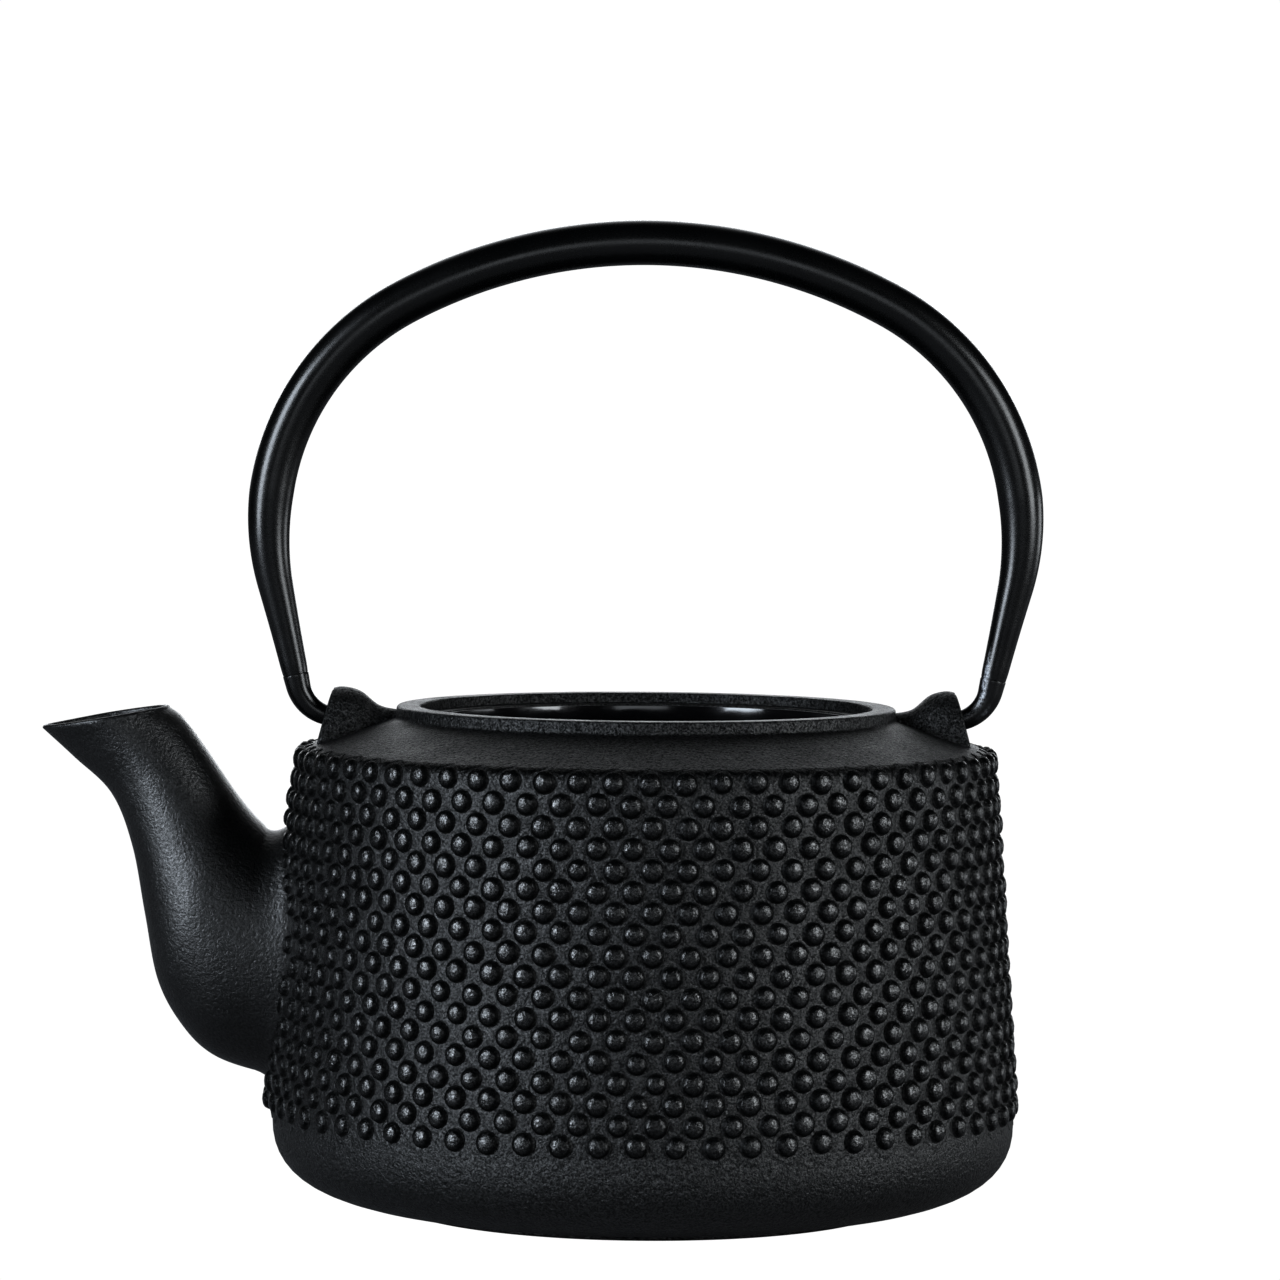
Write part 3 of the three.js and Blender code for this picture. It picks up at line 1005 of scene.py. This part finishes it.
@dataclass(frozen=True)
class LugCasting:
    """A hood on the shoulder with a blind hole for the end of the bail."""

    side: Side
    keel: tuple[tuple[float, float], ...] = (
        (49.0, 95.5), (54.0, 90.6), (58.6, 85.8), (63.6, 82.2), (68.4, 80.0),
    )
    ridge: tuple[tuple[float, float], ...] = (
        (49.4, 98.8), (53.4, 99.7), (57.0, 102.5), (60.3, 103.4), (62.5, 103.1),
    )
    half_widths: tuple[float, ...] = (2.8, 4.8, 7.2, 8.6, 9.2)
    shift: float = 0.0
    edge: float = 0.8
    pivot_z: float = 97.3
    hole: float = 2.8
    hole_end: float = 57.0
    columns: int = 48

    def build(self, outline: Path2D, finish: bpy.types.Material) -> bpy.types.Object:
        """The lug's mesh: hood, rounded front edge, face, rim of the hole and bore, from pole to pole.

        The hood's sections are M + H cos(q) + Y sin(q) between keel and ridge, and no point goes deeper
        than 2 mm into the shoulder. The front edge is a quarter circle from the hood to the face.

        Args:
            outline: the pot's outline, for the shoulder's height.
            finish: the material.

        Returns:
            The object.
        """
        t = np.linspace(0.0, 0.965, 22)
        q = np.linspace(0, 2 * np.pi, self.columns, endpoint=False)
        place = np.append(t, 1.0)
        low, high = catmull(np.array(self.keel), place), catmull(np.array(self.ridge), place)
        width = catmull(np.array(self.half_widths)[:, None], place)
        middle, half = (low + high) / 2, (high - low) / 2
        flat = middle[:, None] + half[:, None] * np.cos(q)[None, :, None]
        rings = np.stack([flat[..., 0], width * np.sin(q)[None], flat[..., 1]], -1)
        face_dir = unit(np.array([half[-1][1], 0.0, -half[-1][0]]))
        rim = rings[-1]
        inward = unit(np.array([middle[-1][0], 0, middle[-1][1]]) - rim)
        theta = np.linspace(0, np.pi / 2, 6)[:, None, None]
        fillet = rim + inward * self.edge * (1 - np.cos(theta)) - face_dir * self.edge * (1 - np.sin(theta))
        lean = -face_dir[2] / face_dir[0]
        at_pivot = rim[0, 0] + (self.pivot_z - rim[0, 2]) * lean

        def circle(radius: float, depth: float) -> Array:
            """A ring of the hole, lying in the sloping face at depth 0 and upright below it.

            Args:
                radius: the ring's radius.
                depth: how far behind the face it lies.

            Returns:
                The ring's points.
            """
            z = self.pivot_z + radius * np.cos(q)
            x = at_pivot + (z - self.pivot_z) * lean * (depth < 2) - depth
            return np.stack([x, radius * np.sin(q), z], -1)

        mouth = circle(self.hole + 0.45, 0.0)
        f = np.linspace(0, 1, 8)[1:, None, None]
        face = fillet[-1] * (1 - f) + mouth * f
        bore = np.stack([
            circle(self.hole + 0.13, 0.13), circle(self.hole, 0.45), circle(self.hole, 3.0),
            circle(self.hole, at_pivot - self.hole_end),
        ])
        grid = np.concatenate([rings[:-1], fillet, face, bore])
        points = outline.points[outline.points[:, 1] > 60]
        radius = np.hypot(grid[..., 0], grid[..., 1])
        order = np.argsort(points[:, 0])
        shoulder = np.interp(radius, points[order, 0], points[order, 1]) - 2.0
        free = np.arange(len(grid))[:, None] < len(grid) - len(bore) - 1
        grid[..., 2] = np.where(free, np.maximum(grid[..., 2], shoulder), grid[..., 2])
        sway = np.clip((grid[..., 0] - 52) / 10, 0, 1)
        grid[..., 0] += self.shift * sway
        grid[..., :2] *= self.side.value
        shell = Shell()
        index = shell.add(grid)
        shell.skin(index)
        shell.cap(index[0], grid[0].mean(0))
        end = (self.side.value * (self.hole_end + self.shift), 0, self.pivot_z)
        shell.cap(index[-1], end, flip=True)
        return dressed(shell.build(f"{self.side.name.lower()}_lug_casting", 50), finish)


@dataclass(frozen=True)
class EnamelCoat:
    """The enamel inside the pot, which runs up over the wall of the lid seat."""

    pot: PotCasting
    thickness: float = 0.6
    gap: float = 0.15
    columns: int = 144

    def build(self, spout: SpoutCasting, finish: bpy.types.Material) -> bpy.types.Object:
        """The coat's mesh: down the wall's side, over the floor, and back up its own shiny side.

        Args:
            spout: the spout, whose channel is cut through the coat.
            finish: the material.

        Returns:
            The object.
        """
        pot, near, far = self.pot, self.gap, self.gap + self.thickness
        top = pot.seat_top - 0.30
        lip = [
            (pot.seat_radius - near, pot.seat_under - near, 0), (pot.seat_radius - near, top, 0.15),
            (pot.seat_radius - 0.5, top, 0.15), (pot.seat_radius - 0.55, pot.seat_under - far - 0.15, 0.5),
        ]
        back = filleted([*pot.hollow(near)[::-1], *lip, *pot.hollow(far)], 5)
        azimuth = np.linspace(0, 2 * np.pi, self.columns, endpoint=False)
        shell = Shell()
        grid = shell.add(lathe(back[1:-1], azimuth))
        shell.skin(grid)
        shell.cap(grid[0], (0, 0, back[0][1]))
        shell.cap(grid[-1], (0, 0, back[-1][1]), flip=True)
        piece = shell.build("enamel_coat")
        cut(piece, spout.channel(0.3))
        return dressed(piece, finish)


@dataclass(frozen=True)
class Bail:
    """The swinging handle: a bent tube that tapers down its legs, and a solid hook in each end."""

    pivot_z: float = 97.3
    pin_tip: float = 57.9
    pin_radius: float = 1.85
    bend_start: float = 61.55
    bend_radius: float = 8.0
    leg_lean: float = math.radians(77)
    seam_z: float = 105.8
    leg_length: float = 18.5
    corner_radius: float = 51.2
    corner_end: float = math.radians(152)
    crown_radius: float = 102.6
    tube_radius: float = 4.45
    tube_end: float = 2.6
    tube_wall: float = 0.9
    taper: float = 37.0
    taper_bow: float = 0.04
    round_over: float = 0.1
    seam: float = 0.04
    spigot_radius: float = 1.35
    spigot_length: float = 11.0
    slide: float = -0.4
    columns: int = 36

    def line(self) -> tuple[Array, Array, Array, float]:
        """The centre line of the +X half, from the pin's tip to the middle of the crown.

        The heading turns from 0 along x to a half turn: it stays for a straight stretch and grows by
        distance / radius round a bend. Its cosine and sine, summed along the line, give x and z.

        Returns:
            The distances, the points (x, z), the headings, and the distance of the seam.
        """
        rise = self.bend_radius * (1 - math.cos(self.leg_lean))
        to_seam = (self.seam_z - self.pivot_z - rise) / math.sin(self.leg_lean)
        pin = self.bend_start - self.pin_tip
        runs = np.array([
            pin, self.bend_radius * self.leg_lean, to_seam + self.leg_length,
            self.corner_radius * (self.corner_end - self.leg_lean),
            self.crown_radius * (math.pi - self.corner_end),
        ])
        turns = np.array([0, self.leg_lean, 0, self.corner_end - self.leg_lean, math.pi - self.corner_end])
        knots = np.concatenate([[0], np.cumsum(runs)])
        headings = np.concatenate([[0], np.cumsum(turns)])
        along = np.linspace(0, knots[-1], 6001)
        heading = np.interp(along, knots, headings)
        step = along[1] - along[0]
        middle = (heading[1:] + heading[:-1]) / 2
        x = self.pin_tip + np.concatenate([[0], np.cumsum(np.cos(middle) * step)])
        z = self.pivot_z + np.concatenate([[0], np.cumsum(np.sin(middle) * step)])
        return along, np.stack([x, z], -1), heading, float(knots[2] + to_seam)

    def rings(self, distance: Array, radius: Array, side: float | Array) -> Array:
        """Round sections at distances along the half line.

        A section is C + N r cos(q) + Y r sin(q), with C on the line, N its inner normal and Y along y.

        Args:
            distance: how far along the half line each section is.
            radius: each section's radius.
            side: 1 on the +X half and -1 on the other, one for all or one for each.

        Returns:
            A grid of points, section by direction.
        """
        along, points, heading, _ = self.line()
        centre = np.stack([np.interp(distance, along, points[:, i]) for i in (0, 1)], -1)
        turn = np.interp(distance, along, heading)[:, None]
        q = np.linspace(0, 2 * np.pi, self.columns, endpoint=False)[None]
        r = radius[:, None]
        x = centre[:, :1] - np.sin(turn) * r * np.cos(q)
        z = centre[:, 1:] + np.cos(turn) * r * np.cos(q)
        side = np.broadcast_to(side, distance.shape)[:, None]
        return np.stack([side * x + self.slide, r * np.sin(q), z], -1)

    def tube_profile(self, above: Array) -> Array:
        """The tube's outer radius at distances above the seam.

        It grows with the share q of the taper's length as q - bow sin(2 pi q), then stays.

        Args:
            above: the distances above the seam.

        Returns:
            A radius for each.
        """
        part = np.clip(above / self.taper, 0, 1)
        eased = part - self.taper_bow * np.sin(2 * np.pi * part)
        return self.tube_end + (self.tube_radius - self.tube_end) * eased

    def wear_and_highlight(self, points: Array) -> Array:
        """How worn the paint is, with a painted highlight: a pale patch on the inner side of the right leg,
        low down.

        Args:
            points: any grid of points, with x, y, z on the last axis.

        Returns:
            A value for each point, from 0 to 1.
        """
        x, y, z = points[..., 0], points[..., 1], points[..., 2]
        spot = np.hypot((z - 105.5) / 8.0, (y + 1.9) / 0.5)
        inner = smoothstep(0.0, 1.0, 70.2 + (z - 105.8) * 0.231 - x)
        return np.where(x > 0, (1 - smoothstep(0.35, 1.0, spot)) * inner, 0.0)

    def tube(self, finish: bpy.types.Material) -> bpy.types.Object:
        """The tube's mesh: outer skin, rounded ends and bore as one closed loop of rings.

        Args:
            finish: the material.

        Returns:
            The object.
        """
        along, _, _, seam = self.line()
        reach = along[-1] - seam - self.seam / 2
        from_crown = reach * np.linspace(-1, 1, 261)
        side = np.where(from_crown < 0, -1.0, 1.0)
        distance = along[-1] - np.abs(from_crown)
        radius = self.tube_profile(distance - seam)
        drop = self.round_over * np.array([1.0, 0.3, 0.0])
        ease = np.zeros_like(radius)
        ease[:3], ease[-3:] = drop, drop[::-1]
        outer = self.rings(distance, radius - ease, side)
        coarse = slice(None, None, 3)
        inner = self.rings(distance[coarse], radius[coarse] - self.tube_wall, side[coarse])
        grid = np.concatenate([outer, inner[::-1]])
        shell = Shell()
        shell.skin(shell.add(grid, self.wear_and_highlight(grid)), loop=True)
        return dressed(shell.build("bail_handle", 50), finish)

    def hook(self, side: Side, finish: bpy.types.Material) -> bpy.types.Object:
        """One hook's mesh, from the rounded tip of its pin to the end of the spigot inside the tube.

        Args:
            side: the side that it is on.
            finish: the material.

        Returns:
            The object.
        """
        _, _, _, seam = self.line()
        end = seam - self.seam / 2
        pin = self.bend_start - self.pin_tip
        tip = np.array([0.0, 0.12, 0.4, 0.8])
        tip_radius = self.pin_radius - 0.8 + np.sqrt(np.maximum(0.64 - (0.8 - tip) ** 2, 0))
        body = np.linspace(1.2, end - 0.12, 44)
        part = np.clip((body - pin) / (end - pin), 0, 1)
        body_radius = self.pin_radius + (self.tube_end - self.pin_radius) * part
        close = np.array([end - 0.04, end, end])
        close_radius = np.array([self.tube_end - 0.03, self.tube_end - 0.1, self.spigot_radius])
        spigot = np.array([end + 4, end + self.spigot_length - 0.4, end + self.spigot_length])
        spigot_radius = np.array([self.spigot_radius, self.spigot_radius, self.spigot_radius - 0.4])
        distance = np.concatenate([tip, body, close, spigot])
        radius = np.concatenate([tip_radius, body_radius, close_radius, spigot_radius])
        grid = self.rings(distance, radius, float(side.value))
        shell = Shell()
        index = shell.add(grid, self.wear_and_highlight(grid))
        shell.skin(index)
        shell.cap(index[0], grid[0].mean(0))
        shell.cap(index[-1], grid[-1].mean(0), flip=True)
        return dressed(shell.build(f"{side.name.lower()}_hook_end", 50), finish)


# Studio ------------------------


@dataclass(frozen=True)
class Softbox:
    """One flat studio light."""

    name: str
    place: tuple[float, float, float]
    aim: tuple[float, float, float]
    size: tuple[float, float]
    watts: float
    tint: tuple[float, float, float] = (1, 1, 1)

    def build(self) -> None:
        """Hangs the light and turns it to its aim."""
        data = bpy.data.lights.new(self.name, "AREA")
        data.shape = "RECTANGLE"
        data.size, data.size_y = self.size
        data.energy = self.watts
        data.color = self.tint
        lamp = bpy.data.objects.new(self.name, data)
        bpy.context.collection.objects.link(lamp)
        offset = np.array(self.aim) - np.array(self.place)
        yaw = math.atan2(offset[1], offset[0]) - math.pi / 2
        pitch = math.atan2(offset[2], math.hypot(offset[0], offset[1]))
        turn = Matrix.Rotation(yaw, 4, "Z") @ Matrix.Rotation(math.pi / 2 + pitch, 4, "X")
        lamp.matrix_world = Matrix.Translation(self.place) @ turn


@dataclass(frozen=True)
class Studio:
    """Camera, pale floor, white surround and soft lights."""

    camera_place: tuple[float, float, float] = (-0.00135, -1.11722, 0.16882)
    camera_drop: float = 0.04976
    camera_roll: float = 0.0082
    lens: float = 157.1
    overhead: float = 0.006
    around: float = 0.015
    backdrop: float = 2.6
    contrast: float = 0.75
    white: float = 1.02
    floor_colour: tuple[float, float, float, float] = (0.28, 0.28, 0.29, 1)
    lights: tuple[Softbox, ...] = (
        Softbox("left_softbox", (-0.95, -0.62, 0.34), (0, 0, 0.07), (0.45, 0.8), 26, (0.85, 0.92, 1)),
        Softbox("right_softbox", (0.95, -0.55, 0.34), (0, 0, 0.07), (0.45, 0.8), 16, (0.93, 0.97, 1)),
        Softbox("front_softbox", (0.1, -1.6, 0.35), (0, 0, 0.07), (0.9, 0.5), 4.8, (0.90, 0.95, 1)),
        Softbox("edge_softbox", (0.85, 0.30, 0.10), (0, 0, 0.05), (0.35, 0.2), 1.6, (0.93, 0.97, 1)),
    )

    def camera(self) -> None:
        """The camera at its viewing angle, a long lens a little above the rim."""
        data = bpy.data.cameras.new("viewer")
        data.lens = self.lens
        data.sensor_width = 36
        data.clip_end = 50
        data.dof.use_dof = False
        viewer = bpy.data.objects.new("viewer", data)
        bpy.context.collection.objects.link(viewer)
        tilt = Matrix.Rotation(math.pi / 2 - self.camera_drop, 4, "X")
        roll = Matrix.Rotation(self.camera_roll, 4, "Z")
        viewer.matrix_world = Matrix.Translation(self.camera_place) @ tilt @ roll
        bpy.context.scene.camera = viewer

    def floor(self) -> None:
        """A wide pale floor that looks plain white and throws only a little light back up at the pot."""
        mesh = bpy.data.meshes.new("floor")
        mesh.from_pydata([(-9, -9, 0), (9, -9, 0), (9, 9, 0), (-9, 9, 0)], [], [(0, 1, 2, 3)])
        mesh.transform(Matrix.Translation((0, 0, -0.0002)))
        plane = bpy.data.objects.new("floor", mesh)
        bpy.context.collection.objects.link(plane)
        sheet = NodeSheet(bpy.data.materials.new("pale_floor"))
        sheet.shader.inputs["Base Color"].default_value = self.floor_colour
        sheet.constants(Roughness=0.9)
        glow = sheet.add("ShaderNodeEmission")
        glow.inputs["Strength"].default_value = self.white
        sheet.show(glow, sheet.shader, "Material Output")
        mesh.materials.append(sheet.owner)

    def world(self) -> None:
        """A white surround to look at, and a dim grey one for the pot to reflect.

        The dim one is faintest overhead. Behind the pot it has a bright panel, narrow along X, that is
        brightest just over the horizon and fades upwards. All its steps are eased in the world's directions.
        """
        sheet = NodeSheet(bpy.data.worlds.new("surround"))
        bpy.context.scene.world = sheet.owner
        way = sheet.add("ShaderNodeSeparateXYZ")
        sheet.join(sheet.spot.outputs["Generated"], way.inputs[0])
        x, y, z = (way.outputs[axis] for axis in "XYZ")

        def ease(source: bpy.types.NodeSocket, *ends: float) -> bpy.types.NodeSocket:
            """Carries a value from ends 1 and 2 to ends 3 and 4, smoothly."""
            return sheet.ramp(source, *ends, smooth=True)

        high, low = ease(z, 0.05, 1.25, self.backdrop, 0.0), ease(z, 0.05, 0.25, 1.5 * self.backdrop, 0.0)
        upright = sheet.maths("MULTIPLY", sheet.maths("ADD", high, low), ease(z, -0.02, 0.10, 0.25, 1.0))
        narrow = ease(sheet.maths("MULTIPLY", x, x), 0.02, 0.20, 1.0, 0.04)
        behind = sheet.maths("MULTIPLY", narrow, ease(y, 0.3, 0.8, 0.0, 1.0))
        panel = sheet.maths("MULTIPLY", upright, behind)
        total = sheet.maths("ADD", panel, ease(z, 0.1, 0.9, self.around, self.overhead))
        dim = sheet.tree.nodes["Background"]
        dim.inputs["Color"].default_value = (0.94, 0.97, 1, 1)
        sheet.join(total, dim.inputs["Strength"])
        white = sheet.add("ShaderNodeBackground")
        white.inputs["Color"].default_value = (1, 1, 1, 1)
        white.inputs["Strength"].default_value = self.white
        sheet.show(white, dim, "World Output")

    def build(self) -> None:
        """Sets up the whole studio."""
        self.camera()
        self.floor()
        self.world()
        for light in self.lights:
            light.build()
        view = bpy.context.scene.view_settings
        view.view_transform = "Standard"
        view.gamma = self.contrast


def main() -> None:
    """Builds the teapot piece by piece, then the studio."""
    logging.basicConfig(level=logging.INFO, format="%(name)s: %(message)s")
    iron = CastLacquer("cast_iron_lacquer").material()
    spout_skin = CastLacquer(
        "spout_lacquer", grain=0.40, grain_depth=0.075, satin=0.35, dust=0.2, pit_shade_shine=(0.42, 0.68),
        crater_shade_shine=1.0,
    )
    spout_iron = spout_skin.material()
    glaze, bail_finish = EnamelGlaze().material(), BailLacquer().material()
    pot, spout, bail = PotCasting(), SpoutCasting(), Bail()
    outline = pot.outline()
    settle(pot.build(spout, iron), Body.POT, Slot.IRON, "pot_body")
    settle(spout.build(outline, spout_iron), Body.POT, Slot.IRON, "spout")
    for side, shift in ((Side.RIGHT, -0.5), (Side.LEFT, 0.3)):
        lug = LugCasting(side, shift=shift)
        settle(lug.build(outline, iron), Body.POT, Slot.IRON, f"{side.name.lower()}_lug")
    settle(EnamelCoat(pot).build(spout, glaze), Body.POT, Slot.ENAMEL, "enamel_lining")
    settle(bail.tube(bail_finish), Body.BAIL, Slot.BAIL, "bail_tube")
    for side in Side:
        settle(bail.hook(side, bail_finish), Body.BAIL, Slot.BAIL, f"{side.name.lower()}_hook")
    Studio().build()


if __name__ == "__main__":
    main()
